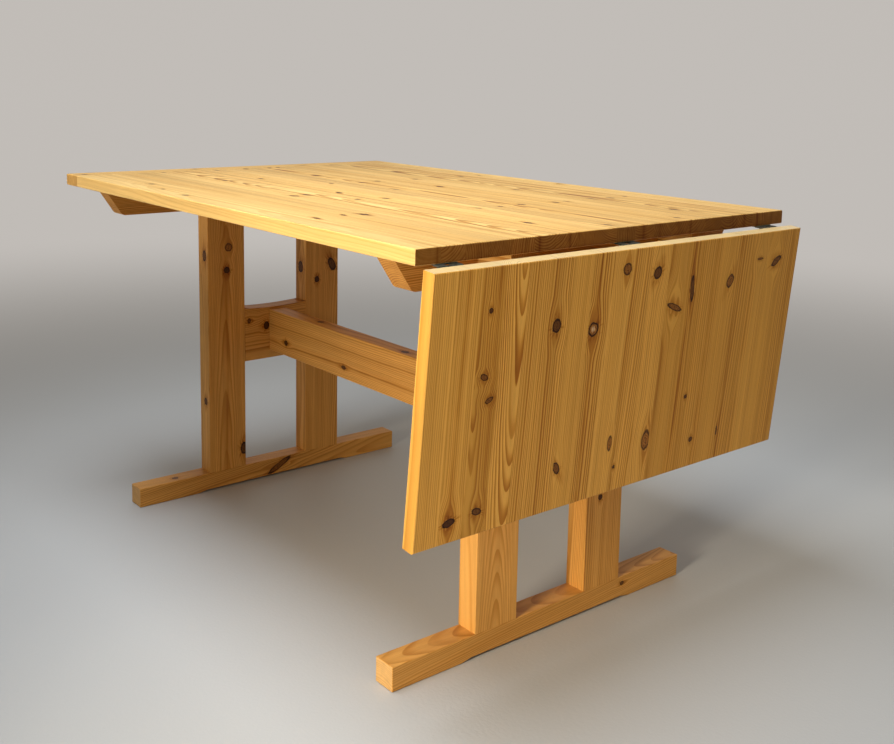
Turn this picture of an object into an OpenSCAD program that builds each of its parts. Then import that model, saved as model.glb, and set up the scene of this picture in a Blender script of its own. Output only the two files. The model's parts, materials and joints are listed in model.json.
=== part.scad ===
// Drop leaf table: a pine trestle table with one leaf hanging from the short end at +X.
// Millimetres. X runs along the top towards the leaf, Y across, Z up; the floor is Z = 0.

/* [Top] */
// Height of the top above the floor
height = 720; // [650:5:780]
// Length of the fixed top along X
top_length = 1240; // [1000:10:1600]
// Thickness of the top and of the leaf
top_t = 24; // [18:1:32]
// Number of glued staves across the width
staves = 19; // [11:2:25]
// Width of one stave, so the top is this times their number across
stave_w = 43.5; // [30:0.5:60]
// Width of the crosswise board closing the far end
end_board = 58; // [40:1:100]
// Size of the bevel along the edges of the top and the leaf
arris = 1.5; // [0.5:0.1:3]

/* [Leaf] */
// Length of the leaf from the hinged edge to the free edge
leaf_length = 400; // [250:5:500]
// Gap between the top and the raised leaf
leaf_gap = 3.3; // [1:0.1:6]

/* [Hinges] */
// Length of a hinge along its pin
hinge_w = 40; // [30:1:60]
// Length of a hinge plate away from the barrel
plate_l = 34; // [25:1:50]
// Thickness of a hinge plate
plate_t = 2; // [1.5:0.1:3]
// Outer radius of the hinge barrel
barrel_r = 5.5; // [4:0.1:6]
// Radius of the hinge pin
pin_r = 2; // [1.5:0.1:3]
// Radial play between the pin and the moving knuckle
pin_play = 0.05; // [0.02:0.01:0.1]
// Depth of the pin axis below the undersides
pin_drop = 6.5; // [6:0.1:9]
// How far the edge of the leaf reaches past the pin axis
pin_past = 6; // [4:0.1:8]
// Distance of the outer hinges from the middle one
hinge_y = 360; // [250:1:380]

/* [Trestles] */
// Distance between the two trestles, centre to centre
trestle_span = 924; // [700:2:1100]
// Thickness of feet, posts, rails and bearers along X
leg_t = 44; // [30:1:60]
// Length of a foot along Y
foot_length = 682; // [500:2:800]
// Height of a foot
foot_h = 42; // [30:1:60]
// Depth of the relief under a foot
relief = 4; // [2:0.5:10]
// Length of the relief at the floor
relief_l = 400; // [200:5:500]
// Length of each sloped end of the relief
relief_run = 20; // [10:1:40]
// Width of a post along Y
post_w = 91; // [60:1:120]
// Clear distance between the two posts of a trestle
post_gap = 162; // [100:2:240]
// Height of the underside of the middle rail
rail_z = 289; // [200:1:400]
// Height of the middle rail itself
rail_h = 123; // [80:1:160]
// Depth of the hollow along the top edge of the middle rail
scoop = 3; // [1:0.5:6]
// Thickness of the tenons
tenon_t = 18; // [12:1:24]

/* [Bearers] */
// Height of a bearer
bearer_h = 57; // [45:1:80]
// Length of a bearer along its underside
bearer_low = 692; // [600:2:760]
// Length of a bearer against the top
bearer_up = 768; // [640:2:800]
// Radius of the lower corners of a bearer
corner_r = 12; // [6:1:20]

/* [Stretcher] */
// Height of the underside of the stretcher
stretcher_z = 308; // [220:1:400]
// Height of the stretcher itself
stretcher_h = 96; // [60:1:120]
// Thickness of the stretcher
stretcher_t = 40; // [30:1:60]
// Sideways distance of the stretcher from the middle
stretcher_y = 3; // [0:1:10]

/* [Leaf supports] */
// Distance of each sliding support from the middle
loper_y = 205; // [200:1:290]
// Width of a sliding support
loper_w = 36; // [24:1:50]
// Height of a sliding support
loper_h = 32; // [20:1:40]
// Length of a sliding support
loper_l = 470; // [350:5:560]
// Distance of a stowed support behind the end of the top
loper_setback = 20; // [10:1:60]
// Side and top clearance of a sliding support
loper_play = 0.4; // [0.2:0.1:1]

/* [Hidden] */
$fn = 96;
e = 1;                                     // overshoot of a cut
width = staves * stave_w;                  // of the top and the leaf along Y
z_u = height - top_t;                      // underside of the top
pin_out = pin_past + leaf_gap;             // pin axis beyond the end of the top
// the leaf hangs with its weight straight below the pins
tilt = atan((pin_drop + top_t / 2) / (leaf_length / 2 - pin_past));
reach = pin_out + (pin_drop + top_t) * cos(tilt) + pin_past * sin(tilt);
xa = -(top_length + reach) / 2;            // far end of the top
xb = xa + top_length;                      // leaf end of the top
pin_x = xb + pin_out;
pin_z = z_u - pin_drop;
tx = [xa + (top_length - trestle_span) / 2, xb - (top_length - trestle_span) / 2];
post_y = (post_gap + post_w) / 2;
tongue_t = 8;
tongue_l = 12;
tongue_stop = 30;
foot_tenon = 26;
rail_tenon = 28;
bolt_r = 4;
bolt_play = 0.2;                           // around a bolt in its wooden hole
bolt_dy = 24;                              // frame bolts each side of a post's middle
washer_t = 1.6;
head_t = 5.5;                              // of the bolts' hexagon heads
insert_r = 6;
insert_l = 20;
bolt_depth = 30;                           // of the bolt holes in the bearers
loper_z = z_u - loper_play - loper_h;      // underside of a sliding support
slot_h = loper_h + 2.5 * loper_play;       // depth of the slots they run in
guide_l = 50;
guide_wall = 19;
guide_x = xb - loper_setback - loper_l + 35;  // inner end of a guide
peg_x = guide_x + guide_l + 7;             // stop peg in a sliding support
peg_r = 4;
knuckle = hinge_w / 3;
stretcher_bolts = [24, 72];
top_screw_y = [-7 * stave_w, -stave_w, stave_w, 7 * stave_w];

// ---------- shared shapes ----------

// rectangle with four bevelled corners
module bevelled(x0, x1, y0, y1, c) {
  polygon([[x0 + c, y0], [x1 - c, y0], [x1, y0 + c], [x1, y1 - c],
           [x1 - c, y1], [x0 + c, y1], [x0, y1 - c], [x0, y0 + c]]);
}

// profile drawn in Y and Z, running from x0 for l along X
module along_x(x0, l) {
  translate([x0, 0, 0]) rotate([90, 0, 90]) linear_extrude(l) children();
}

// round bar along X or Y from a point
module rod_x(p, l, r) { translate(p) rotate([0, 90, 0]) cylinder(h = l, r = r); }
module rod_y(p, l, r) { translate(p) rotate([-90, 0, 0]) cylinder(h = l, r = r); }

// flat panel with bevelled edges
module panel(x0, x1, z0) {
  intersection() {
    along_x(x0, x1 - x0) bevelled(-width / 2, width / 2, z0, z0 + top_t, arris);
    translate([0, width / 2, 0]) rotate([90, 0, 0]) linear_extrude(width)
      bevelled(x0, x1, z0, z0 + top_t, arris);
  }
}

// every second stave across the width, starting at stave number first
module stave_boxes(first, x0, l, z0) {
  for (k = [first : 2 : staves - 1])
    translate([x0, -width / 2 + k * stave_w, z0 - e]) cube([l, stave_w, top_t + 2 * e]);
}

// countersunk wood screw standing on its head, pointing up
module wood_screw(l, r, head_r) {
  cylinder(h = head_r - r, r1 = head_r, r2 = r);
  cylinder(h = l - 2 * r, r = r);
  translate([0, 0, l - 2 * r]) cylinder(h = 2 * r, r1 = r, r2 = 0.4);
}

module slotted_screw(l, r, head_r) {
  difference() {
    wood_screw(l, r, head_r);
    translate([-head_r - e, -0.5, -e]) cube([2 * head_r + 2 * e, 1, e + 0.8]);
  }
}

// ---------- hinges ----------

// the places of the three hinges along the pin axis
module at_hinge(side) { translate([pin_x, side * hinge_y, pin_z]) children(); }

// the leaf in its hanging position; inside, it lies flat with the pin axis at the origin
module on_leaf() { translate([pin_x, 0, pin_z]) rotate([0, 90 + tilt, 0]) children(); }

module hinge_screw_holes(x) {
  for (s = [-1, 1]) translate([x, s * 13, pin_drop - plate_t]) children();
}

fixed_screw_x = -pin_out - plate_l / 2;
leaf_plate_x = pin_past + 0.5;
leaf_screw_x = leaf_plate_x + plate_l / 2;

// plate under the top, with the two outer knuckles
module fixed_plate() {
  difference() {
    union() {
      translate([-pin_out - plate_l, -hinge_w / 2, pin_drop - plate_t])
        cube([plate_l, hinge_w, plate_t]);
      for (y = [-hinge_w / 2, hinge_w / 2 - knuckle + 0.3]) {
        translate([-pin_out - 4, y, barrel_r - plate_t]) cube([pin_out + 4, knuckle - 0.3, plate_t]);
        rod_y([0, y, 0], knuckle - 0.3, barrel_r);
      }
    }
    rod_y([0, -hinge_w / 2 - e, 0], hinge_w + 2 * e, pin_r);
    hinge_screw_holes(fixed_screw_x) wood_screw(16, 1.8, 3.6);
  }
}

// plate under the leaf, with the middle knuckle; drawn with the leaf raised
module moving_plate() {
  difference() {
    union() {
      translate([leaf_plate_x, -hinge_w / 2, pin_drop - plate_t]) cube([plate_l, hinge_w, plate_t]);
      translate([0, -knuckle / 2, barrel_r - plate_t]) cube([leaf_plate_x + 4, knuckle, plate_t]);
      rod_y([0, -knuckle / 2, 0], knuckle, barrel_r);
    }
    rod_y([0, -hinge_w / 2, 0], hinge_w, pin_r + pin_play);
    hinge_screw_holes(leaf_screw_x) wood_screw(16, 1.8, 3.6);
  }
}

module hinge_pin() {
  rod_y([0, -hinge_w / 2, 0], hinge_w, pin_r);
  rod_y([0, -hinge_w / 2 - 1.2, 0], 1.2, pin_r + 1.2);
  rod_y([0, hinge_w / 2, 0], 1.2, pin_r + 1.2);
}

module hinge_front_plate() { color("dimgray") at_hinge(-1) fixed_plate(); }
module hinge_middle_plate() { color("dimgray") at_hinge(0) fixed_plate(); }
module hinge_back_plate() { color("dimgray") at_hinge(1) fixed_plate(); }

module leaf_plate(side) {
  color("gray") on_leaf() translate([0, side * hinge_y, 0]) moving_plate();
}
module hinge_front_leaf_plate() { leaf_plate(-1); }
module hinge_middle_leaf_plate() { leaf_plate(0); }
module hinge_back_leaf_plate() { leaf_plate(1); }

module hinge_front_pin() { color("silver") at_hinge(-1) hinge_pin(); }
module hinge_middle_pin() { color("silver") at_hinge(0) hinge_pin(); }
module hinge_back_pin() { color("silver") at_hinge(1) hinge_pin(); }

module each_top_hinge_screw() {
  for (side = [-1, 0, 1]) at_hinge(side) hinge_screw_holes(fixed_screw_x) children();
}
module each_leaf_hinge_screw() {
  for (side = [-1, 0, 1]) translate([0, side * hinge_y, 0])
    hinge_screw_holes(leaf_screw_x) children();
}
module hinge_screws_top() { color("silver") each_top_hinge_screw() slotted_screw(16, 1.8, 3.6); }
module hinge_screws_leaf() {
  color("silver") on_leaf() each_leaf_hinge_screw() slotted_screw(16, 1.8, 3.6);
}

// ---------- top and leaf ----------

module tongue() {
  translate([xa + end_board - tongue_l, -width / 2 + tongue_stop, z_u + (top_t - tongue_t) / 2])
    cube([tongue_l + 5, width - 2 * tongue_stop, tongue_t]);
}

module top_staves(first) {
  color("burlywood") difference() {
    intersection() {
      union() {
        intersection() {
          panel(xa, xb, z_u);
          translate([xa + end_board, -width, z_u - e]) cube([top_length, 2 * width, top_t + 2 * e]);
        }
        tongue();
      }
      stave_boxes(first, xa, top_length, z_u);
    }
    each_top_hinge_screw() wood_screw(16, 1.8, 3.6);
    each_bearer_screw() bearer_screw();
    each_guide_screw() guide_screw();
  }
}
module top_staves_odd() { top_staves(0); }
module top_staves_even() { top_staves(1); }

module top_end_board() {
  color("peru") difference() {
    intersection() {
      panel(xa, xb, z_u);
      translate([xa - e, -width, z_u - e]) cube([end_board + e, 2 * width, top_t + 2 * e]);
    }
    tongue();
  }
}

module leaf_staves(first) {
  color("burlywood") on_leaf() difference() {
    intersection() {
      panel(-pin_past, leaf_length - pin_past, pin_drop);
      stave_boxes(first, -pin_past - e, leaf_length + 2 * e, pin_drop);
    }
    each_leaf_hinge_screw() wood_screw(16, 1.8, 3.6);
  }
}
module leaf_staves_odd() { leaf_staves(0); }
module leaf_staves_even() { leaf_staves(1); }

// ---------- trestles ----------

foot_tenon_w = post_w - 30;
rail_tenon_h = rail_h - 32;

module post_tenon(t, side) {
  translate([tx[t] - tenon_t / 2, side * post_y - foot_tenon_w / 2, foot_h - foot_tenon])
    cube([tenon_t, foot_tenon_w, foot_tenon + 5]);
}

// tenon through both posts' inner faces; side 0 gives the pair
module rail_tenons(t) {
  translate([tx[t] - tenon_t / 2, -post_gap / 2 - rail_tenon, rail_z + 16])
    cube([tenon_t, post_gap + 2 * rail_tenon, rail_tenon_h]);
}

module foot(t) {
  l = foot_length / 2;
  r = relief_l / 2;
  color("peru") difference() {
    along_x(tx[t] - leg_t / 2, leg_t)
      polygon([[-l, 0], [-r, 0], [-r + relief_run, relief], [r - relief_run, relief], [r, 0],
               [l, 0], [l, foot_h], [-l, foot_h]]);
    post_tenon(t, -1);
    post_tenon(t, 1);
  }
}
module foot_far() { foot(0); }
module foot_near() { foot(1); }

module post(t, side) {
  color("burlywood") difference() {
    union() {
      translate([tx[t] - leg_t / 2, side * post_y - post_w / 2, foot_h])
        cube([leg_t, post_w, z_u - foot_h]);
      post_tenon(t, side);
    }
    rail_tenons(t);
    each_frame_bolt() frame_bolt_hole();
  }
}
module post_far_front() { post(0, -1); }
module post_far_back() { post(0, 1); }
module post_near_front() { post(1, -1); }
module post_near_back() { post(1, 1); }

// circle through the rail's upper corners that hollows its top edge
scoop_r = post_gap * post_gap / (8 * scoop) + scoop / 2;

module rail(t) {
  color("peru") difference() {
    union() {
      translate([tx[t] - leg_t / 2, -post_gap / 2, rail_z]) cube([leg_t, post_gap, rail_h]);
      rail_tenons(t);
    }
    translate([tx[t] - leg_t, 0, rail_z + rail_h - scoop + scoop_r]) rotate([0, 90, 0])
      cylinder(h = 2 * leg_t, r = scoop_r, $fn = 720);
    each_stretcher_bolt() stretcher_bolt_hole();
  }
}
module rail_far() { rail(0); }
module rail_near() { rail(1); }

// ---------- bearers and their fixings ----------

slant = atan(bearer_h / ((bearer_up - bearer_low) / 2));
tangent = corner_r * tan(slant / 2);

module bearer_profile() {
  a = bearer_low / 2 - tangent;
  b = bearer_low / 2 + tangent * cos(slant);
  zb = z_u - bearer_h;
  zs = zb + tangent * sin(slant);
  polygon([[-a, zb], [a, zb], [b, zs], [bearer_up / 2, z_u], [-bearer_up / 2, z_u], [-b, zs]]);
  for (s = [-1, 1]) translate([s * a, zb + corner_r]) circle(r = corner_r);
}

// the bearers lie against the outer faces of the posts
function bearer_x(t) = t == 0 ? tx[0] - 1.5 * leg_t : tx[1] + 0.5 * leg_t;

module bearer(t) {
  color("peru") difference() {
    along_x(bearer_x(t), leg_t) bearer_profile();
    each_frame_bolt() frame_bolt_hole();
    each_bearer_screw() bearer_screw();
    if (t == 1) for (s = [-1, 1])
      translate([bearer_x(1) - e, s * loper_y - loper_w / 2 - loper_play, z_u - slot_h])
        cube([leg_t + 2 * e, loper_w + 2 * loper_play, slot_h + e]);
  }
}
module bearer_far() { bearer(0); }
module bearer_near() { bearer(1); }

// screws from below, sunk into the bearers, holding the top down
module each_bearer_screw() {
  for (t = [0, 1], y = top_screw_y)
    translate([bearer_x(t) + leg_t / 2, y, z_u - bearer_h]) children();
}
screw_sink = 22;
module bearer_screw() {
  translate([0, 0, -e]) cylinder(h = screw_sink + e, r = 6);
  translate([0, 0, screw_sink]) wood_screw(50, 2.5, 5);
}
module bearer_screws() {
  color("silver") each_bearer_screw() translate([0, 0, screw_sink]) slotted_screw(50, 2.5, 5);
}

// bolts along X through the posts into the bearers, drawn outwards from the joint between them
module each_frame_bolt() {
  for (t = [0, 1], side = [-1, 1], dy = [-bolt_dy, bolt_dy])
    translate([tx[t] + (2 * t - 1) * leg_t / 2, side * post_y + dy, z_u - bearer_h / 2])
      mirror([1 - t, 0, 0]) children();
}
module frame_bolt_hole() {
  rod_x([-leg_t - e, 0, 0], leg_t + e + bolt_depth, bolt_r + bolt_play);
  rod_x([-bolt_play, 0, 0], insert_l + bolt_play, insert_r);
}
module frame_bolts() {
  color("silver") each_frame_bolt() {
    rod_x([-leg_t - washer_t - 1, 0, 0], leg_t + washer_t + bolt_depth - 1, bolt_r);
    translate([-leg_t - washer_t - head_t, 0, 0]) rotate([0, 90, 0])
      cylinder(h = head_t, r = 7.5, $fn = 6);
  }
}
module frame_washers() {
  color("silver") each_frame_bolt() difference() {
    rod_x([-leg_t - washer_t, 0, 0], washer_t, 8);
    rod_x([-leg_t - washer_t - e, 0, 0], washer_t + 2 * e, bolt_r);
  }
}
// threaded sleeves in the bearers
module frame_inserts() {
  color("silver") each_frame_bolt() difference() {
    rod_x([0, 0, 0], insert_l, insert_r);
    rod_x([-e, 0, 0], insert_l + 2 * e, bolt_r);
  }
}

// ---------- stretcher ----------

barrel_in = 42;                            // barrel nut from the end of the stretcher
barrel_nut_r = 6;
barrel_nut_l = 30;
s_x0 = tx[0] + leg_t / 2;
s_x1 = tx[1] - leg_t / 2;

// bolts along X, drawn outwards from the joint between stretcher and rail
module each_stretcher_bolt() {
  for (t = [0, 1], z = stretcher_bolts)
    translate([t == 0 ? s_x0 : s_x1, stretcher_y, stretcher_z + z]) mirror([1 - t, 0, 0]) children();
}
module stretcher_bolt_hole() {
  rod_x([-barrel_in - 16, 0, 0], barrel_in + 16 + leg_t + e, bolt_r + bolt_play);
}
module stretcher_bolts() {
  color("silver") each_stretcher_bolt() {
    rod_x([-barrel_in - 14, 0, 0], barrel_in + 14 + leg_t, bolt_r);
    rod_x([leg_t, 0, 0], 2.5, 8.5);
  }
}
module barrel_nuts() {
  color("silver") each_stretcher_bolt() difference() {
    rod_y([-barrel_in, -barrel_nut_l / 2, 0], barrel_nut_l, barrel_nut_r);
    rod_x([-barrel_in - 10, 0, 0], 20, bolt_r);
  }
}
module stretcher() {
  color("burlywood") difference() {
    translate([s_x0, stretcher_y - stretcher_t / 2, stretcher_z])
      cube([s_x1 - s_x0, stretcher_t, stretcher_h]);
    each_stretcher_bolt() {
      stretcher_bolt_hole();
      rod_y([-barrel_in, -barrel_nut_l / 2, 0], stretcher_t, barrel_nut_r);
    }
  }
}

// ---------- sliding leaf supports ----------

module loper(side) {
  x0 = xb - loper_setback - loper_l;
  color("tan") difference() {
    translate([x0, side * loper_y - loper_w / 2, loper_z]) cube([loper_l, loper_w, loper_h]);
    // finger groove under the outer end
    rod_y([xb - loper_setback - 28, side * loper_y - loper_w / 2 - e, loper_z - 4], loper_w + 2 * e, 12);
    loper_peg(side);
  }
}
module loper_front() { loper(-1); }
module loper_back() { loper(1); }

// peg that meets the bearer when the support is pulled right out
module loper_peg(side) {
  translate([peg_x, side * loper_y, loper_z - 12]) cylinder(h = 32, r = peg_r);
}
module loper_peg_front() { color("peru") loper_peg(-1); }
module loper_peg_back() { color("peru") loper_peg(1); }

guide_w = loper_w + 2 * loper_play + 2 * guide_wall;
guide_h = slot_h + 10;
module loper_guide(side) {
  color("peru") difference() {
    translate([guide_x, side * loper_y - guide_w / 2, z_u - guide_h])
      cube([guide_l, guide_w, guide_h]);
    translate([guide_x - e, side * loper_y - loper_w / 2 - loper_play, z_u - slot_h])
      cube([guide_l + 2 * e, loper_w + 2 * loper_play, slot_h + e]);
    each_guide_screw() guide_screw();
  }
}
module loper_guide_front() { loper_guide(-1); }
module loper_guide_back() { loper_guide(1); }

module each_guide_screw() {
  for (side = [-1, 1], s = [-1, 1])
    translate([guide_x + guide_l / 2, side * loper_y + s * (guide_w - guide_wall) / 2, z_u - guide_h])
      children();
}
module guide_screw() {
  translate([0, 0, -e]) cylinder(h = 16 + e, r = 5);
  translate([0, 0, 16]) wood_screw(40, 2, 4);
}
module guide_screws() {
  color("silver") each_guide_screw() translate([0, 0, 16]) slotted_screw(40, 2, 4);
}

// ---------- nodes ----------

top_staves_odd();
top_staves_even();
top_end_board();
leaf_staves_odd();
leaf_staves_even();
foot_far();
foot_near();
post_far_front();
post_far_back();
post_near_front();
post_near_back();
rail_far();
rail_near();
bearer_far();
bearer_near();
stretcher();
loper_front();
loper_back();
loper_peg_front();
loper_peg_back();
loper_guide_front();
loper_guide_back();
hinge_front_plate();
hinge_middle_plate();
hinge_back_plate();
hinge_front_leaf_plate();
hinge_middle_leaf_plate();
hinge_back_leaf_plate();
hinge_front_pin();
hinge_middle_pin();
hinge_back_pin();
hinge_screws_top();
hinge_screws_leaf();
bearer_screws();
guide_screws();
frame_bolts();
frame_washers();
frame_inserts();
stretcher_bolts();
barrel_nuts();
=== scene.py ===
"""Looks of a pine drop leaf table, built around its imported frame."""

import json
import math
import random

import bmesh
import bpy
from mathutils import Matrix, Vector


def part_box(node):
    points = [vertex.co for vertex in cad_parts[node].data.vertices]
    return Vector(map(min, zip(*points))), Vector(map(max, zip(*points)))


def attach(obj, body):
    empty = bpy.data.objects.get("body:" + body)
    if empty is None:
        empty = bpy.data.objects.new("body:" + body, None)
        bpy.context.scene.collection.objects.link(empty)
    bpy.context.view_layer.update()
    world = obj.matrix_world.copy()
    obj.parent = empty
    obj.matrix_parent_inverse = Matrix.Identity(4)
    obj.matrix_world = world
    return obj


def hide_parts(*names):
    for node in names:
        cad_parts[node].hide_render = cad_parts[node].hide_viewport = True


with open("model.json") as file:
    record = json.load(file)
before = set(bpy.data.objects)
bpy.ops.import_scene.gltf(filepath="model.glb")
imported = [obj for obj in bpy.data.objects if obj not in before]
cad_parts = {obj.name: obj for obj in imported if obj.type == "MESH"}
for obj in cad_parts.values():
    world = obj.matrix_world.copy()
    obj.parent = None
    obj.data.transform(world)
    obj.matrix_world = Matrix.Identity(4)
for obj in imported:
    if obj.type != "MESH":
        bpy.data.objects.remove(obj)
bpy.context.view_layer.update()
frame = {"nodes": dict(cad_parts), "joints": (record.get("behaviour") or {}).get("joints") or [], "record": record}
nodes = frame["nodes"]
node_body = {n: body for body, ns in frame["record"]["behaviour"]["bodies"].items() for n in ns}

MM = 0.001
X, Y, Z = Vector((1, 0, 0)), Vector((0, 1, 0)), Vector((0, 0, 1))

# ---------- sizes that the looks repeat from the part ----------

STAVES = 19
STAVE_W = 43.5 * MM
TOP_T = 24 * MM
HALF_W = STAVES * STAVE_W / 2
PIN_DROP, PIN_PAST, LEAF_LENGTH = 6.5 * MM, 6 * MM, 400 * MM
POST_GAP = 162 * MM
TILT = math.atan((PIN_DROP + TOP_T / 2) / (LEAF_LENGTH / 2 - PIN_PAST))
PIN = Vector(next(j for j in frame["joints"] if j["child"] == "leaf")["pos_m"])
PIN.y = 0
LEAF_DOWN = Vector((-math.sin(TILT), 0, -math.cos(TILT)))
LEAF_OUT = Vector((math.cos(TILT), 0, -math.sin(TILT)))
LEAF_EDGE = PIN - LEAF_DOWN * PIN_PAST + LEAF_OUT * (PIN_DROP + TOP_T / 2)


# ---------- node tree helper ----------


class S:
    """A shader socket or a number that formulas can be written with."""

    def __init__(self, tree, value):
        self.tree, self.value = tree, value

    def _two(self, op, other, swap=False):
        a, b = (other, self) if swap else (self, other)
        return self.tree.math(op, a, b)

    def __add__(self, o):
        return self._two("ADD", o)

    __radd__ = __add__

    def __sub__(self, o):
        return self._two("SUBTRACT", o)

    def __rsub__(self, o):
        return self._two("SUBTRACT", o, True)

    def __mul__(self, o):
        return self._two("MULTIPLY", o)

    def __truediv__(self, o):
        return self._two("DIVIDE", o)

    def __pow__(self, o):
        return self._two("POWER", o)

    def __neg__(self):
        return self._two("MULTIPLY", -1.0)


class Tree:
    """Builds the nodes of a material or a world."""

    def __init__(self, owner):
        self.owner = owner
        owner.use_nodes = True
        self.nodes, self.links = owner.node_tree.nodes, owner.node_tree.links
        self.nodes.clear()

    def put(self, socket, value):
        value = value.value if isinstance(value, S) else value
        if isinstance(value, bpy.types.NodeSocket):
            self.links.new(value, socket)
        else:
            socket.default_value = value

    def node(self, kind, inputs=(), **settings):
        n = self.nodes.new("ShaderNode" + kind)
        for key, value in settings.items():
            setattr(n, key, value)
        for key, value in dict(inputs).items():
            self.put(n.inputs[key], value)
        return n

    def math(self, op, *values, clamp=False):
        n = self.node("Math", operation=op, use_clamp=clamp)
        for socket, value in zip(n.inputs, values):
            self.put(socket, value)
        return S(self, n.outputs[0])

    def split(self, vector):
        n = self.node("SeparateXYZ", {0: vector})
        return [S(self, o) for o in n.outputs]

    def join(self, x, y, z):
        return S(self, self.node("CombineXYZ", {0: x, 1: y, 2: z}).outputs[0])

    def attribute(self, name):
        """The three numbers that a mesh layer of that name holds."""
        return self.split(self.node("Attribute", attribute_name=name).outputs["Vector"])

    def noise(self, vector, detail=1.0, rough=0.5, colour=False):
        n = self.node("TexNoise", {"Vector": vector, "Scale": 1.0, "Detail": detail,
                                   "Roughness": rough})
        return self.split(n.outputs["Color"]) if colour else S(self, n.outputs["Fac"])

    def step(self, value, low, high):
        """0 below low, 1 above high and smooth between."""
        n = self.node("MapRange", {"Value": value, "From Min": low, "From Max": high},
                      interpolation_type="SMOOTHSTEP")
        return S(self, n.outputs[0])

    def mix(self, share, a, b, blend="MIX"):
        n = self.node("Mix", data_type="RGBA", blend_type=blend, clamp_factor=True)
        colour_inputs = [i for i in n.inputs if i.type == "RGBA"]
        self.put(n.inputs[0], share)
        for socket, value in zip(colour_inputs, (a, b)):
            self.put(socket, (*value, 1.0) if isinstance(value, tuple) else value)
        return S(self, next(o for o in n.outputs if o.type == "RGBA"))

    def grey(self, value):
        """The same number in red, green and blue."""
        return self.join(value, value, value)

    def vector(self, op, a, b=None, scale=None):
        n = self.node("VectorMath", {0: a}, operation=op)
        if b is not None:
            self.put(n.inputs[1], b)
        if scale is not None:
            n.inputs["Scale"].default_value = scale
        return S(self, n.outputs["Value" if op in ("DOT_PRODUCT", "LENGTH") else "Vector"])

    def place(self):
        """The place on the object, in metres."""
        return S(self, self.node("TexCoord").outputs["Object"])

    def surface(self, bump=None, bump_distance=0.0002, far=None, **inputs):
        """A finished surface. far is (share, colour) of a plain glow that it fades into."""
        p = self.node("BsdfPrincipled")
        for key, value in inputs.items():
            self.put(p.inputs[key.replace("_", " ")], value)
        if bump is not None:
            b = self.node("Bump", {"Height": bump, "Distance": bump_distance, "Strength": 1.0})
            self.put(p.inputs["Normal"], b.outputs[0])
        end = p.outputs[0]
        if far is not None:
            glow = self.node("Emission", {0: far[1]})
            end = self.node("MixShader", {0: far[0], 1: end, 2: glow.outputs[0]}).outputs[0]
        self.node("OutputMaterial", {0: end})
        return self.owner


# ---------- pine ----------

RESIN_TAKES = (0.84, 1.32, 2.30)          # how strongly resin takes out red, green and blue
DULL_BAND = (0.96, 0.84, 0.66)            # tint of the darker lengthwise bands
WARM_TINT = (0.92, 0.74, 0.24)
HEART_LIGHT, HEART_DARK = (0.42, 0.165, 0.026), (0.190, 0.058, 0.007)   # of a sound knot
HEART_DEAD = (0.050, 0.014, 0.002)        # of a dark, dead knot
HEART_PALE = (0.74, 0.52, 0.28)           # middle of a knot with a pale heart
CRACK = (0.028, 0.010, 0.004)
BARK_RIM = (0.026, 0.0065, 0.0008)
END_TINT_AND_SHADE = (0.30, 0.21, 0.11)             # multiplies the colour on dark end grain; on the top's ends part of this darkening is painted shade
# pale end grain on the feet; on the leaf's upper end this paleness is a painted highlight of the light from above
PALE_END_AND_HIGHLIGHT = (0.77, 0.60, 0.31)
RUBBED = (0.78, 0.50, 0.21)               # bare wood on worn edges


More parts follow.
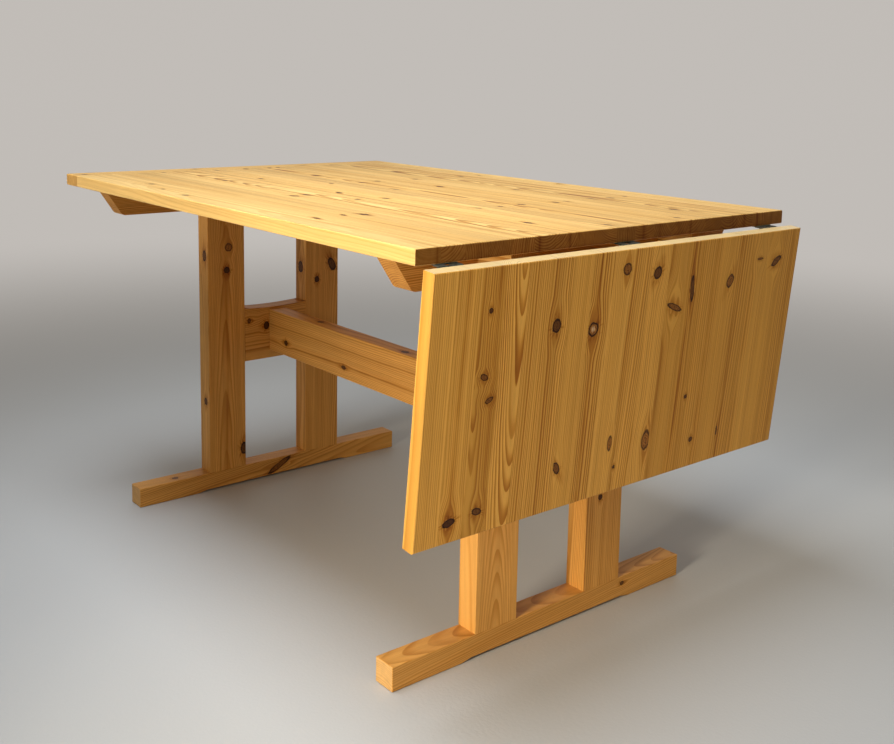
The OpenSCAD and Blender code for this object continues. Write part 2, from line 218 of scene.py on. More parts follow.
def pine(name, light, roughness):
    """Solid pine. Every face corner carries its place in its board, measured from the tree's
    centre, and its place relative to the nearest knot, so rings meet at the board's edges.
    LAYERS names the mesh layers, and wood() fills them."""
    t = Tree(bpy.data.materials.new(name))
    along, across, depth = t.attribute("grain")
    u, v, dark = t.attribute("knot")
    reach, side, radius = t.attribute("bend")
    tone, warm, seed = t.attribute("board")
    spacing, strength, wander = t.attribute("rings")
    # this layer holds rubbed edges, end-grain darkening that is partly painted shade on the top's ends, end-grain
    # paling that is a painted highlight on the leaf's upper end, and the end-grain flag
    wear, end, cross_cut = t.attribute("wear_end_tone_and_light")
    vein_off, vein, vein_w = t.attribute("vein")

    # rings bend round a knot
    window = t.math("MAXIMUM", 1 - reach * reach, 0.0)
    window = window * window
    push = radius * t.math("TANH", side * 1.5) * window
    push = push * t.math("EXPONENT", side * side * -0.12)
    across = across - push

    # slow wander and fine unevenness of the rings
    slow = t.noise(t.join(along * 2.6 + seed, across * 9 + seed, depth * 9), 1.0, colour=True)
    fine = t.noise(t.join(along * 14 + seed, across * 80, depth * 80), 2.0) - 0.5
    ry = across + (slow[0] - 0.5) * wander + fine * 0.0022
    rz = depth + (slow[1] - 0.5) * wander
    r = t.math("SQRT", ry * ry + rz * rz)
    uneven = t.noise(t.join(r * 60, seed, 0.0), 1.0, colour=True)
    ring = t.math("FRACT", r / spacing + uneven[0] * 3.0)
    latewood = t.step(ring, 0.20, 0.94) ** 1.6 * (1 - t.step(ring, 0.94, 1.0))
    blotch = t.noise(t.join(along * 4 + seed, across * 30, depth * 30), 2.0)
    bold = t.noise(t.join(r * 230, seed, along * 1.5), 1.0)
    latewood = latewood * strength * t.step(bold * 0.8 + uneven[1] * 0.3 + blotch * 0.3, 0.40, 0.80)

    # fibres run along the board
    fibre = t.noise(t.join(along * 22 + seed, across * 950, depth * 950), 3.0, 0.6)
    pores = t.noise(t.join(along * 130, across * 1900, depth * 1900 + seed), 0.0)
    pores = t.step(pores, 0.68, 0.80) * (1 - cross_cut)
    band = t.noise(t.join(along * 1.1, ry * 85 + seed, rz * 85), 2.0)
    shade = tone * (0.53 + fibre * 0.34 + blotch * 0.18 + band * 0.44 - pores * 0.10)

    # the nearest knot's shape, and the grain that radiates from it
    strong = t.math("ABSOLUTE", dark)
    dead, pale = t.math("MAXIMUM", dark, 0.0), t.math("MAXIMUM", -dark, 0.0)
    wobble = t.noise(t.join(u * 1.5 + seed, v * 1.5, 0.0), 2.0) - 0.5
    rho = t.math("SQRT", u * u + v * v) + wobble * 0.42
    long = t.math("SQRT", u * u * 0.14 + v * v * 0.8) + wobble * 0.4
    core = 1 - t.step(rho, 0.90, 1.02)
    rim = t.step(rho, 0.66, 0.82) * (1 - t.step(rho, 1.0, 1.10))
    halo = 1 - t.step(long, 0.5, 1.45)
    rays = t.step(t.noise(t.join(u / rho * 3.5 + seed, v / rho * 3.5, rho * 0.5), 1.0), 0.50, 0.66)
    rays = rays * t.step(rho, 0.95, 1.10) * (1 - t.step(rho, 1.15, 2.4)) * strong

    # resin in the late wood, round the knots and in streaks takes out green and blue
    aside = t.math("ABSOLUTE", vein_off - push + (slow[2] - 0.5) * 0.012)
    streak = t.math("EXPONENT", -(aside / vein_w))
    streak = streak * vein * t.step(t.noise(t.join(along * 7 + seed, 0.0, 0.0), 2.0), 0.22, 0.62)
    resin = latewood + halo * (strong * 0.24 + 0.12) + rays * 0.6 + streak * 1.2
    left = t.join(*(t.math("EXPONENT", resin * -take) for take in RESIN_TAKES))
    colour = t.mix(1.0, t.mix(1.0, light, t.grey(shade), "MULTIPLY"), left, "MULTIPLY")
    colour = t.mix((band - 0.32) * 0.9, t.mix(1.0, colour, DULL_BAND, "MULTIPLY"), colour)
    colour = t.mix(warm, colour, t.mix(1.0, colour, WARM_TINT, "MULTIPLY"))

    # knots
    turns = t.math("FRACT", rho * 3.0 + wobble * 1.5)
    heart = t.mix(t.step(turns, 0.2, 0.95), HEART_LIGHT, HEART_DARK)
    heart = t.mix(dead * 0.92, heart, HEART_DEAD)
    middle = 1 - t.step(rho, 0.12, 0.55)
    heart = t.mix(middle * pale, heart, HEART_PALE)
    crack = 1 - t.step(t.math("ABSOLUTE", v + wobble * 0.9 - u * 0.3), 0.03, 0.10)
    heart = t.mix(crack * 0.6, heart, CRACK)
    colour = t.mix(core, colour, heart)
    colour = t.mix(rim * (strong * 0.30 + 0.70), colour, BARK_RIM)

    # end grain is darker, and on the top's ends painted shade darkens it further; where end is negative it turns
    # pale, on the leaf's upper end as a painted highlight; edges are rubbed pale
    colour = t.mix(end, colour, t.mix(1.0, colour, END_TINT_AND_SHADE, "MULTIPLY"))
    colour = t.mix(-end, colour, PALE_END_AND_HIGHLIGHT)
    rubbed = t.noise(t.join(along * 30 + seed, across * 60, depth * 60), 2.0)
    colour = t.mix(wear * t.step(rubbed, 0.35, 0.75) * 0.40, colour, RUBBED)

    rough = roughness + fibre * 0.10 - latewood * 0.06 + end * 0.22 + (blotch - 0.5) * 0.10
    height = (latewood * 0.40 + fibre * 0.30 - pores * 0.25) * (1 - cross_cut * 0.85)
    height = height - rim * strong * 0.6 + blotch * 0.8
    return t.surface(bump=height, bump_distance=0.00025, Base_Color=colour, Roughness=rough,
                     Specular_IOR_Level=0.14, Coat_Weight=0.05, Coat_Roughness=0.32)


PINE = {name: pine(name, light, roughness) for name, light, roughness in (
    ("pine_panel", (0.755, 0.450, 0.112), 0.42),
    # the top's paler, yellower copy of the panel pine is painted light: the same timber as the leaf, made paler
    # where the top is strongly lit
    ("pine_top_lit", (0.805, 0.564, 0.228), 0.44),
    ("pine_end_board", (0.780, 0.510, 0.180), 0.42),
    ("pine_frame", (0.705, 0.398, 0.118), 0.42),
    ("pine_support", (0.700, 0.420, 0.140), 0.48),
)}

# ---------- metal ----------


def metal(name, clean, tarnish, roughness):
    t = Tree(bpy.data.materials.new(name))
    cloud = t.noise(t.vector("SCALE", t.place(), scale=90.0), 3.0, 0.6)
    grain = t.noise(t.vector("SCALE", t.place(), scale=1500.0), 1.0)
    colour = t.mix(t.step(cloud, 0.35, 0.7), clean, tarnish)
    rough = roughness + cloud * 0.18 + grain * 0.08
    return t.surface(bump=grain * 0.3 + cloud, bump_distance=0.00006, Base_Color=colour,
                     Roughness=rough, Metallic=1.0)


METAL = {name: metal(name, *looks) for name, *looks in (
    ("hinge_steel", (0.15, 0.16, 0.13), (0.05, 0.055, 0.04), 0.40),
    ("fastener_steel", (0.62, 0.61, 0.58), (0.42, 0.41, 0.38), 0.26),
)}

# ---------- turning CAD nodes into finished pieces ----------

WELD = 2e-6                               # m, corners closer than this are one
FLAT = math.radians(0.4)                  # faces that meet at less than this are one
SHARP = math.radians(38)                  # edges that stay crisp in the shading


def cad_mesh(node):
    """A copy of a CAD node's mesh, with its flat faces whole again."""
    bm = bmesh.new()
    bm.from_mesh(nodes[node].data)
    bmesh.ops.remove_doubles(bm, verts=bm.verts, dist=WELD)
    bmesh.ops.dissolve_limit(bm, angle_limit=FLAT, verts=bm.verts, edges=bm.edges)
    return bm


def soften(bm, radius, low=20.0, high=120.0, shortest=0.012, keep_planes=()):
    """Rounds the long convex edges that turn between low and high degrees, except those that lie
    in a plane (point, normal) to keep, and returns the rounded faces."""
    def kept(e):
        return any(all(abs((v.co - p).dot(n)) < 1e-5 for v in e.verts) for p, n in keep_planes)
    edges = [
        e for e in bm.edges
        if e.is_manifold and e.is_convex and e.calc_length() > shortest and not kept(e)
        and low < math.degrees(e.calc_face_angle()) < high
    ]
    made = bmesh.ops.bevel(bm, geom=edges, offset=radius, offset_type="OFFSET", segments=3,
                           profile=0.5, affect="EDGES", clamp_overlap=True)
    return set(made["faces"])


def finish_mesh(bm, name, material, body, replaced):
    """Turns bm into the piece that stands for the CAD node named replaced."""
    for f in bm.faces:
        f.smooth = True
    mesh = bpy.data.meshes.new(name)
    bm.to_mesh(mesh)
    bm.free()
    mesh.set_sharp_from_angle(angle=SHARP)
    mesh.materials.append(material)
    obj = bpy.data.objects.new(name, mesh)
    bpy.context.scene.collection.objects.link(obj)
    smooth = obj.modifiers.new("even_normals", "WEIGHTED_NORMAL")
    smooth.keep_sharp = True
    smooth.weight = 90
    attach(obj, body)
    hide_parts(replaced)
    return obj


class Board:
    """One board: its axes, where the tree's centre lies, its looks and its knots.

    pith and slope are in mm and mm per mm, across and through the board. A knot is (face, along,
    across, half length, half width, tilt, darkness) in mm and degrees; face 0 is the broad pair
    and 1 the narrow pair, and a negative darkness gives a pale heart. vein is a resin streak's
    (place across in mm, strength, width in mm). end_dark is how much the end grain darkens, and on
    the top's ends part of that darkening is painted shade; where it is negative the end grain pales,
    and on the leaf's upper end that paleness is a painted highlight."""

    def __init__(self, origin, axes, seed, pith=(0, 60), slope=(0, 0), tone=1.0, warm=0.0,
                 spacing=3.0, strength=0.8, wander=14, knots=(), middle=0.0, vein=(0, 0, 2),
                 end_dark=0.35):
        self.origin, self.axes = origin, axes
        self.pith = [p * MM for p in pith]
        self.slope, self.middle = slope, middle * MM
        self.seed, self.tone, self.warm = seed, tone, warm
        self.spacing, self.strength, self.wander = spacing * MM, strength, wander * MM
        self.vein, self.end_dark = vein, end_dark
        self.knots = [[k for k in knots if k[0] == face] for face in (0, 1)]
        for ks in self.knots:
            ks.sort(key=lambda k: k[1])

    def place(self, point):
        """A point's place along, across and through the board."""
        d = point - self.origin
        return [d.dot(a) for a in self.axes]

    def cuts(self):
        """Places along the board halfway between neighbouring knots of one face pair."""
        return [(a[1] + b[1]) / 2 * MM for ks in self.knots for a, b in zip(ks, ks[1:])]

    def near(self, face, along):
        """The nearest knot on that face pair, and how far it may bend the rings."""
        ks = self.knots[face]
        if not ks:
            return None, 1.0
        i = min(range(len(ks)), key=lambda n: abs(ks[n][1] * MM - along))
        room = [abs(ks[j][1] - ks[i][1]) / 2 for j in (i - 1, i + 1) if 0 <= j < len(ks)]
        return ks[i], min([3.0 * ks[i][4] + 1.6 * ks[i][3] + 8] + room) * MM


def cut_board(bm, board, faces):
    """Splits a board's faces, so that each face has one nearest knot."""
    for at in board.cuts():
        parts = set(faces).union(*(f.verts for f in faces), *(f.edges for f in faces))
        before = set(bm.faces)
        bmesh.ops.bisect_plane(bm, geom=list(parts), dist=1e-7,
                               plane_co=board.origin + board.axes[0] * at, plane_no=board.axes[0])
        faces = [f for f in faces if f.is_valid] + [f for f in bm.faces if f not in before]


LAYERS = ("grain", "knot", "bend", "board", "rings", "wear_end_tone_and_light", "vein")
NO_KNOT = (9.0, 9.0), (9.0, 0.0, 0.001), 0.0    # a place, a reach and a darkness far from any


def wood(node, board_of, slot, radius=1.3, keep_planes=(), high=120.0, look=None):
    """Makes a node's finished piece. board_of gives the board that a point belongs to."""
    bm = cad_mesh(node)
    worn = soften(bm, radius * MM, high=high, keep_planes=keep_planes)
    worn_layer = bm.faces.layers.int.new("worn")
    groups = {}
    for f in bm.faces:
        f[worn_layer] = int(f in worn)
        board = board_of(f.calc_center_median())
        groups.setdefault(id(board), (board, []))[1].append(f)
    for board, faces in groups.values():
        cut_board(bm, board, faces)
    layers = {n: bm.loops.layers.float_vector.new(n) for n in LAYERS}
    bm.normal_update()
    for f in bm.faces:
        centre = f.calc_center_median()
        board = board_of(centre)
        facing = [abs(f.normal.dot(a)) for a in board.axes]
        end = facing[0] > 0.72
        face = int(facing[1] > facing[2])
        knot, bend = (None, 1.0) if end else board.near(face, board.place(centre)[0])
        for loop in f.loops:
            a, b, c = board.place(loop.vert.co)
            pb = board.pith[0] + board.slope[0] * (a - board.middle)
            pc = board.pith[1] + board.slope[1] * (a - board.middle)
            in_face = c if face else b
            grain = (a, c - pc, b - pb) if face else (a, b - pb, c - pc)
            if knot is None:
                place, reach, dark = NO_KNOT
            else:
                _, ka, kb, long, wide, tilt, dark = knot
                da, db = a - ka * MM, in_face - kb * MM
                cos, sin = math.cos(math.radians(tilt)), math.sin(math.radians(tilt))
                place = ((da * cos + db * sin) / (long * MM), (db * cos - da * sin) / (wide * MM))
                reach = (da / bend, db / (wide * MM), wide * MM)
            loop[layers["grain"]] = grain
            loop[layers["knot"]] = (*place, dark)
            loop[layers["bend"]] = reach
            loop[layers["board"]] = (board.tone, board.warm, board.seed)
            loop[layers["rings"]] = (board.spacing, board.strength, board.wander)
            # the middle number darkens end grain, with painted shade on the top's ends, and paints a highlight on
            # the leaf's upper end where it is negative
            loop[layers["wear_end_tone_and_light"]] = (float(f[worn_layer]), end * board.end_dark, float(end))
            loop[layers["vein"]] = (b - board.vein[0] * MM, (not face) * board.vein[1],
                                    board.vein[2] * MM)
    return finish_mesh(bm, node + "_wood", PINE[look or slot], node_body[node], node)


def centre(node):
    low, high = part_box(node)
    return (low + high) / 2


# ---------- the top ----------

top_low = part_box("top_end_board")[0]
top_middle_z = top_low.z + TOP_T / 2

TOP_KNOTS = [  # along, across
    (299, 332), (304, 286), (296, 240), (300, 170), (303, 140), (297, 61), (300, 7), (298, -43),
    (-181, 370), (-184, 320), (-178, 186), (-181, 86), (-176, 40), (-183, -30),
    (-26, 132), (-24, 20), (-28, -114), (-26, -189), (-22, -218),
    (-596, 378), (-590, 332), (-575, 228), (-574, 74), (-570, 49), (-572, -14),
    (-570, -89), (-566, -222), (-346, 253), (-350, 40), (-342, -105), (-346, -189),
    (-348, -351), (-248, -372), (-131, -384), (102, 228), (94, -93), (81, -147), (490, 245),
    (571, 157), (571, -11), (487, -103), (269, -264), (258, -297), (269, -355), (56, 395),
]


def stave_number(y):
    """Which stave of the top or the leaf lies at y."""
    return min(STAVES - 1, max(0, int((y + HALF_W) / STAVE_W)))


def stave_middle(k):
    return (k - (STAVES - 1) / 2) * STAVE_W


def random_stave(rng):
    """Where the tree's centre lies from a stave of the top."""
    style = rng.random()
    if style < 0.45:      # straight lines
        return dict(pith=(rng.choice((-1, 1)) * rng.uniform(55, 95), rng.uniform(-15, 15)),
                    slope=(rng.uniform(-0.01, 0.01), 0), wander=8)
    if style < 0.75:      # lines crowding to one side
        return dict(pith=(rng.choice((-1, 1)) * rng.uniform(22, 45), rng.uniform(25, 50)),
                    slope=(rng.uniform(-0.02, 0.02), rng.uniform(-0.01, 0.01)), wander=12)
    return dict(pith=(rng.uniform(-8, 8), rng.uniform(28, 60)),       # arches
                slope=(0, rng.choice((-1, 1)) * rng.uniform(0.02, 0.05)), wander=18)


def top_boards():
    boards = []
    for k in range(STAVES):
        # the two outer staves get faint rings (strength 0.15), which keeps the edge staves pale and even: a
        # painted highlight of the brightly lit front edge
        outer = k in (0, STAVES - 1)
        rng = random.Random(100 + k)
        knots = []
        for a, b in TOP_KNOTS:
            if stave_number(b * MM) == k:
                r = rng.uniform(3.2, 6.2)
                knots.append((0, a, b - stave_middle(k) / MM, r * rng.uniform(1.0, 2.0), r,
                              rng.uniform(-25, 25), rng.uniform(0.4, 1.0)))
        # end_dark=1.0 darkens the top's end grain fully: its own darker finish plus painted shade
        boards.append(Board(
            Vector((0, stave_middle(k), top_middle_z)), (X, Y, Z), rng.uniform(0, 90),
            tone=rng.uniform(0.90, 1.08), warm=rng.uniform(0.0, 0.22),
            spacing=rng.uniform(2.6, 5.0), strength=0.15 if outer else rng.uniform(0.6, 1.0),
            knots=knots, end_dark=1.0,
            vein=(rng.uniform(-18, 18), rng.choice((0, 0.3, 0.5, 0.7)), rng.uniform(1, 3.5)),
            **random_stave(rng)))
    return boards


boards = top_boards()
# the top staves take the top's paler copy of the pine: painted light on the strongly lit top
for node in ("top_staves_odd", "top_staves_even"):
    wood(node, lambda p: boards[stave_number(p.y)], "pine_panel", radius=0.7, high=60,
         look="pine_top_lit")

end_board = Board(
    centre("top_end_board"), (Y, X, Z), 7.0, pith=(70, -12), tone=0.97, warm=0.08, spacing=3.0,
    strength=0.35,
    knots=[(0, -388, 6, 7, 5, 20, 0.8), (0, -120, -8, 6, 5, 0, 0.5), (0, 160, 10, 8, 5, 10, 0.5)])
wood("top_end_board", lambda p: end_board, "pine_end_board", radius=0.7, high=60)

# ---------- the leaf ----------

LEAF_STAVES = [  # tone, warm, spacing, strength, wander, pith, slope, vein
    (1.02, 0.04, 3.6, 0.38, 6, (80, 10), (0.00, 0.00), (0, 0, 1)),
    (0.97, 0.14, 3.8, 0.47, 8, (-70, 18), (0.00, 0.00), (-4, 0.35, 3)),
    (0.88, 0.30, 3.4, 0.68, 20, (-20, 26), (0.02, 0.02), (12, 0.4, 3)),
    (1.08, 0.00, 3.2, 1.00, 26, (12, 34), (0.00, 0.04), (0, 0, 1)),
    (1.00, 0.08, 3.8, 0.75, 6, (75, 5), (0.00, 0.00), (0, 0, 1)),
    (0.98, 0.10, 4.6, 1.00, 9, (85, 5), (0.01, 0.00), (-12, 0.3, 2)),
    (1.00, 0.10, 3.4, 0.38, 8, (-90, 10), (0.00, 0.00), (0, 0, 1)),
    (0.99, 0.14, 6.0, 1.00, 9, (60, 12), (0.01, 0.00), (-7, 0.85, 1.6)),
    (1.02, 0.06, 3.6, 0.38, 8, (-85, 12), (0.00, 0.00), (0, 0, 1)),
    (1.00, 0.14, 5.0, 0.72, 14, (-55, 25), (-0.02, 0.00), (-18, 0.3, 1.5)),
    (1.08, 0.08, 3.8, 0.47, 10, (60, 22), (0.00, 0.00), (0, 0, 1)),
    (0.91, 0.30, 3.4, 0.37, 9, (-75, 10), (0.00, 0.00), (-16, 0.45, 3)),
    (0.92, 0.40, 5.2, 0.59, 9, (70, 12), (0.01, 0.00), (-7, 0.7, 2)),
    (0.96, 0.32, 4.6, 0.53, 9, (-45, 26), (0.00, 0.01), (8, 0.4, 2)),
    (0.99, 0.30, 3.8, 0.31, 8, (85, 10), (0.00, 0.00), (0, 0, 1)),
    (0.94, 0.38, 5.6, 0.62, 12, (-50, 22), (-0.02, 0.00), (-12, 0.5, 2)),
    (1.01, 0.30, 3.8, 0.34, 8, (-80, 12), (0.00, 0.00), (-16, 0.5, 1.5)),
    (0.98, 0.38, 3.6, 0.31, 8, (80, 14), (0.00, 0.00), (0, 0, 1)),
    (0.96, 0.36, 4.8, 0.56, 10, (-65, 15), (0.00, 0.00), (6, 0.4, 2)),
]
LEAF_KNOTS = [  # down the leaf, across, half length, half width, tilt, darkness
    (63, -307, 4, 3.5, 0, 0.9), (159, -309, 4.5, 7.5, -25, 0.5), (195, -296, 4, 7.5, 25, 0.5),
    (368, -352, 6, 11, 10, 1.0), (363, -301, 5.5, 9, -15, 0.7), (102, -176, 10.5, 8.5, 0, 0.8),
    (118, -97, 11, 10.5, 0, -0.9), (31, -35, 9.5, 9, 0, 0.2), (44, 37, 10, 9, -20, 0.7),
    (106, 88, 5, 19, -22, 0.3), (80, 128, 22, 4.5, 6, 0.7), (77, 227, 12, 8.5, -25, 0.1),
    (54, 352, 6, 14, 32, 0.5), (46, 304, 2, 8, 0, 0.4), (331, -146, 11, 6, 30, 0.5),
    (315, -30, 13, 5, 0, 0.0), (358, -14, 3, 3, 0, 0.9), (327, 57, 17, 10, 0, 0.0),
    (268, 147, 3.5, 3.5, 0, 0.9), (350, 176, 4.5, 4.5, 0, 0.8), (348, 246, 8, 2.2, 0, 0.6),
]


def leaf_boards():
    boards = []
    for k, (tone, warm, spacing, strength, wander, pith, slope, vein) in enumerate(LEAF_STAVES):
        knots = [(0, a, b - stave_middle(k) / MM, *rest) for a, b, *rest in LEAF_KNOTS
                 if stave_number(b * MM) == k]
        # end_dark=-0.7 turns the leaf's upper end grain pale: a painted highlight of the light from above
        boards.append(Board(
            LEAF_EDGE + Y * stave_middle(k), (LEAF_DOWN, Y, LEAF_OUT), 11.3 + 3.7 * k,
            pith=pith, slope=slope, tone=tone, warm=warm, spacing=spacing, strength=strength,
            wander=wander, knots=knots, middle=200, vein=vein, end_dark=-0.7))
    return boards


leaf = leaf_boards()
for node in ("leaf_staves_odd", "leaf_staves_even"):
    wood(node, lambda p: leaf[stave_number(p.y)], "pine_panel", radius=0.7, high=60)

# ---------- trestles ----------


def single(node, axes, slot="pine_frame", radius=1.6, keep_planes=(), **looks):
    board = Board(centre(node), axes, **looks)
    return wood(node, lambda p: board, slot, radius=radius, keep_planes=keep_planes)


UPRIGHT, SIDEWAYS, LENGTHWISE = (Z, Y, X), (Y, Z, X), (X, Z, Y)
foot_low, foot_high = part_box("foot_near")
post_mid = centre("post_near_front").z / MM


def up(z):
    """A height above the floor in mm, as a place along a post."""
    return z - post_mid


# the far trestle's posts get a lower tone and more warm tint than the near posts: painted shade of the far trestle
posts = {
    "post_far_front": dict(
        seed=3.1, pith=(-4, -8), slope=(0, -0.03), middle=up(225), tone=0.96, warm=0.12,
        spacing=3.0, strength=0.40, wander=12, vein=(-3, 0.45, 4),
        knots=[(0, up(506), 1, 7, 7, 0, 1.0), (0, up(557), 6, 9, 9, 0, 0.1),
               (0, up(84), 41, 14, 9, 0, 0.8), (1, up(540), 6, 12, 8, 0, 0.7),
               (1, up(206), 4, 8, 7, 0, 0.8)]),
    "post_far_back": dict(
        seed=8.6, pith=(60, -20), slope=(0, -0.02), tone=0.94, warm=0.12, spacing=3.2,
        strength=0.4, wander=12,
        knots=[(0, up(461), -14, 7, 6, 0, 1.0), (0, up(494), 28, 16, 9, -25, 0.8),
               (1, up(491), 0, 13, 10, 0, 0.8)]),
    "post_near_front": dict(
        seed=5.2, pith=(-3, -10), slope=(0, -0.05), middle=up(120), tone=1.02, warm=0.04,
        spacing=3.4, strength=0.32, wander=12,
        knots=[(0, up(430), 20, 9, 8, 0, 0.7), (1, up(420), 5, 9, 8, 0, 0.7)]),
    "post_near_back": dict(
        seed=6.4, pith=(-60, -18), slope=(0.01, 0), tone=0.99, warm=0.10, spacing=3.2,
        strength=0.6, wander=10,
        knots=[(0, up(210), -11, 5, 5, 0, 1.0), (0, up(520), 16, 8, 8, 0, 0.7)]),
}
for node, looks in posts.items():
    single(node, UPRIGHT, keep_planes=[(foot_high, Z), (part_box(node)[1], Z)], **looks)

# foot_far gets more warm tint than foot_near: painted shade of the far trestle
single("foot_far", SIDEWAYS, seed=2.2, pith=(-30, -40), slope=(0.08, 0.03), tone=0.93, warm=0.16,
       spacing=3.2, strength=0.5, wander=16, end_dark=-0.15,
       knots=[(0, 8, 2, 34, 7, 28, 0.5), (1, -250, 4, 7, 6, 0, 0.7)])
single("foot_near", SIDEWAYS, seed=9.4, pith=(-60, 4), slope=(0.07, 0.02), tone=0.93, warm=0.06,
       spacing=3.8, strength=0.42, wander=14, end_dark=-0.25, knots=[(0, 183, 8, 5, 4, 0, 0.8)])
rail_ends = [(Y * side * POST_GAP / 2, Y) for side in (-1, 1)]
# rail_far gets a lower tone and more warm tint than rail_near: painted shade of the far trestle
single("rail_far", SIDEWAYS, keep_planes=rail_ends, seed=4.4, pith=(-50, -60), slope=(0.02, 0),
       tone=0.93, warm=0.14, spacing=3.6, strength=0.6, wander=12,
       knots=[(0, -25, 16, 7, 9, 0, 1.0), (0, -70, 32, 4, 6, 0, 0.7)])
single("rail_near", SIDEWAYS, keep_planes=rail_ends, seed=4.9, pith=(10, -50), slope=(0, 0.03),
       tone=0.97, warm=0.10, spacing=3.4, strength=0.7, wander=12,
       knots=[(0, 40, 10, 8, 8, 0, 0.8)])
# bearer_far gets a lower tone and more warm tint than bearer_near: painted shade of the far trestle
single("bearer_far", SIDEWAYS, seed=12.4, pith=(-60, 10), slope=(0.01, 0.01), tone=0.90,
       warm=0.16, spacing=3.0, strength=0.7, wander=10,
       knots=[(0, -250, 6, 9, 7, 0, 0.8), (0, 120, -8, 7, 6, 0, 0.7)])
single("bearer_near", SIDEWAYS, seed=13.1, pith=(-70, 15), slope=(0.01, 0.01), tone=0.97,
       warm=0.10, spacing=3.0, strength=0.7, wander=10,
       knots=[(0, 210, 4, 8, 7, 0, 0.8), (0, -60, -6, 6, 6, 0, 0.5)])
stretcher_ends = [(corner, X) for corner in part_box("stretcher")]
single("stretcher", LENGTHWISE, keep_planes=stretcher_ends, seed=14.8, pith=(-70, -30),
       slope=(0.005, 0), tone=1.0, warm=0.06, spacing=4.4, strength=0.5, wander=18,
       vein=(-20, 0.5, 2.5),
       knots=[(0, -367, -18, 7, 6, 0, 1.0), (0, -134, -24, 8, 4, 0, 0.9),
              (0, 220, 10, 7, 6, 0, 0.6), (1, -260, 4, 8, 6, 0, 0.7), (1, 60, -5, 9, 6, 0, 0.7)])

# ---------- leaf supports ----------

for i, side in enumerate(("front", "back")):
    single(f"loper_{side}", (X, Y, Z), "pine_support", seed=20.5 + i, pith=(-60, -12 + 20 * i),
           tone=0.98, spacing=2.8, strength=0.6, wander=8,
           knots=[(0, -90 + 150 * i, 6, 7, 5, 0, 0.6)])
    single(f"loper_guide_{side}", (Y, X, Z), "pine_support", seed=23.5 + i, pith=(-40, 40),
           tone=0.95, spacing=3.0, strength=0.6, wander=8)
    single(f"loper_peg_{side}", (Z, Y, X), "pine_support", radius=0.4, seed=26.5 + i,
           pith=(-30, 10), tone=0.93, spacing=1.8, strength=0.5, wander=3)

# ---------- metal parts ----------


def rounded_steel(node):
    bm = cad_mesh(node)
    soften(bm, 0.35 * MM, low=40, shortest=0.0045)
    finish_mesh(bm, node + "_steel", METAL["hinge_steel"], node_body[node], node)


def repaint(node, material):
    """Gives a CAD node that is shown as it is its finished material."""
    nodes[node].data.materials.clear()
    nodes[node].data.materials.append(METAL[material])


for place in ("front", "middle", "back"):
    rounded_steel(f"hinge_{place}_plate")
    rounded_steel(f"hinge_{place}_leaf_plate")
    repaint(f"hinge_{place}_pin", "hinge_steel")
for node in ("hinge_screws_top", "hinge_screws_leaf", "bearer_screws", "guide_screws",
             "frame_bolts", "frame_washers", "frame_inserts", "stretcher_bolts", "barrel_nuts"):
    repaint(node, "fastener_steel")

# ---------- floor, light and camera ----------

FLOOR_SIZE, FLOOR_BELOW = 60.0, 0.4 * MM
SHADY_SIDE = (0.72, -0.60, 0.35)      # the dimmer side of the room
PALE, DIM = (0.54, 0.51, 0.48), (0.21, 0.20, 0.18)


def surroundings(t, direction):
    """The room's colour in a direction."""
    return t.mix(t.step(t.vector("DOT_PRODUCT", direction, SHADY_SIDE), -1.0, 0.9), PALE, DIM)


def floor_material():
    """Pale floor that far from the table turns into a glow of the surroundings' colour, dimmer towards the shady
    side: painted light and shade.
    """
    t = Tree(bpy.data.materials.new("pale_floor"))
    cloud = t.noise(t.vector("SCALE", t.place(), scale=0.8), 3.0, 0.6)
    speck = t.noise(t.vector("SCALE", t.place(), scale=160.0), 2.0)
    colour = t.mix(cloud, (0.44, 0.44, 0.43), (0.52, 0.52, 0.50))
    # far from the table the floor glows with the room's colour: painted light, and painted shade on the shady side
    far = t.step(t.vector("LENGTH", t.place()), 0.9, 4.5)
    around = surroundings(t, t.vector("NORMALIZE", t.place()))
    return t.surface(bump=speck, bump_distance=0.0003, far=(far, around), Base_Color=colour,
                     Roughness=0.50 + cloud * 0.12)


bpy.ops.mesh.primitive_plane_add(size=FLOOR_SIZE, location=(0, 0, foot_low.z - FLOOR_BELOW))
floor = bpy.context.object
floor.name = "floor"
floor.data.materials.append(floor_material())

world = bpy.data.worlds.new("studio")
bpy.context.scene.world = world
t = Tree(world)
sky = t.node("Background", {0: surroundings(t, t.node("TexCoord").outputs["Generated"])})
t.node("OutputWorld", {0: sky.outputs[0]})


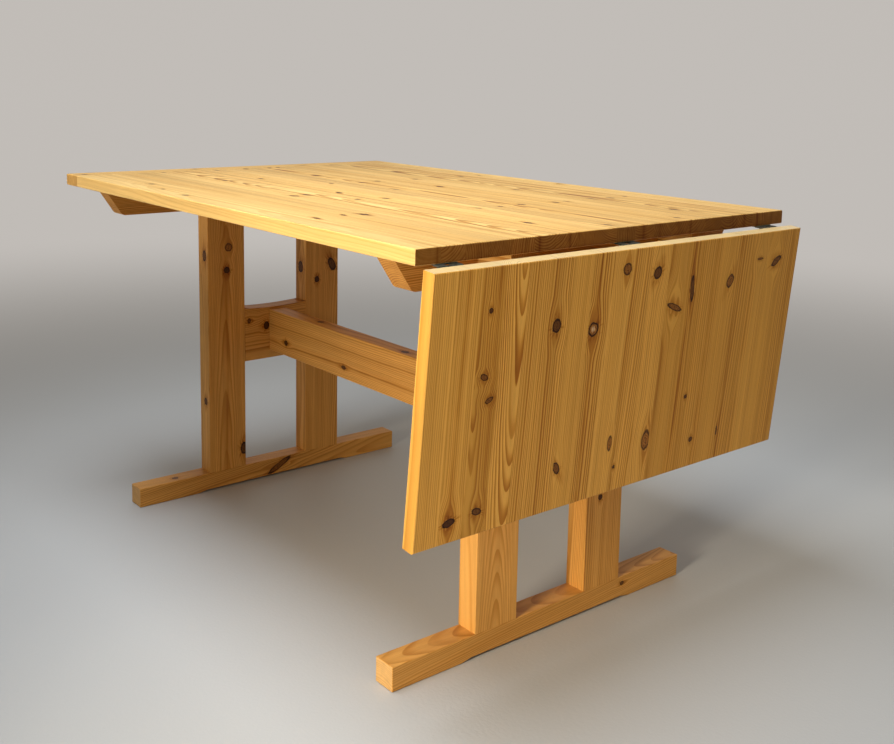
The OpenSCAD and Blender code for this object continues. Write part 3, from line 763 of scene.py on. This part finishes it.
def area(name, place, target, size, power, colour, spread):
    """A softbox: size in m, power in W, spread in degrees."""
    data = bpy.data.lights.new(name, "AREA")
    data.shape, data.size, data.size_y = "RECTANGLE", *size
    data.energy, data.color, data.spread = power, colour, math.radians(spread)
    light = bpy.data.objects.new(name, data)
    light.location = place
    light.rotation_mode = "QUATERNION"
    light.rotation_quaternion = (Vector(target) - Vector(place)).to_track_quat("-Z", "Y")
    light.visible_camera = False
    bpy.context.scene.collection.objects.link(light)


area("ceiling", (0.06, -0.55, 2.5), (0.12, -0.05, 0.7), (1.4, 1.0), 16.4, (0.82, 0.90, 1.0), 84)
area("window", (1.08, -2.62, 1.10), (0.50, -0.05, 0.12), (0.5, 0.7), 4.1, (1.0, 0.88, 0.70), 38)
area("edge", (0.1, -2.3, 0.60), (0.0, -0.41, 0.88), (2.4, 0.12), 3.6, (1.0, 0.93, 0.76), 26)
area("fill", (3.0, -0.6, 0.95), (0.65, -0.15, 0.62), (0.5, 0.7), 0.62, (1.0, 0.80, 0.56), 54)
bpy.context.scene.view_settings.view_transform = "Standard"

CAMERA_AT = (1.7440559, -1.2985609, 0.947964)
YAW, PITCH, ROLL = 0.6872, -0.1478, 0.0187      # radians; yaw is measured from -X
LENS, SENSOR, SHIFT_Y = 44.737, 36, -0.1477
forward = Vector((-math.cos(YAW) * math.cos(PITCH), math.sin(YAW) * math.cos(PITCH),
                  math.sin(PITCH)))
level = Vector((math.sin(YAW), math.cos(YAW), 0))
upward = level.cross(forward)
cam_x = level * math.cos(ROLL) + upward * math.sin(ROLL)
cam_y = -level * math.sin(ROLL) + upward * math.cos(ROLL)
camera = bpy.data.objects.new("camera", bpy.data.cameras.new("camera"))
bpy.context.scene.collection.objects.link(camera)
pose = Matrix((cam_x, cam_y, -forward)).transposed().to_4x4()
pose.translation = CAMERA_AT
camera.matrix_world = pose
camera.data.sensor_width, camera.data.lens, camera.data.shift_y = SENSOR, LENS, SHIFT_Y
bpy.context.scene.camera = camera
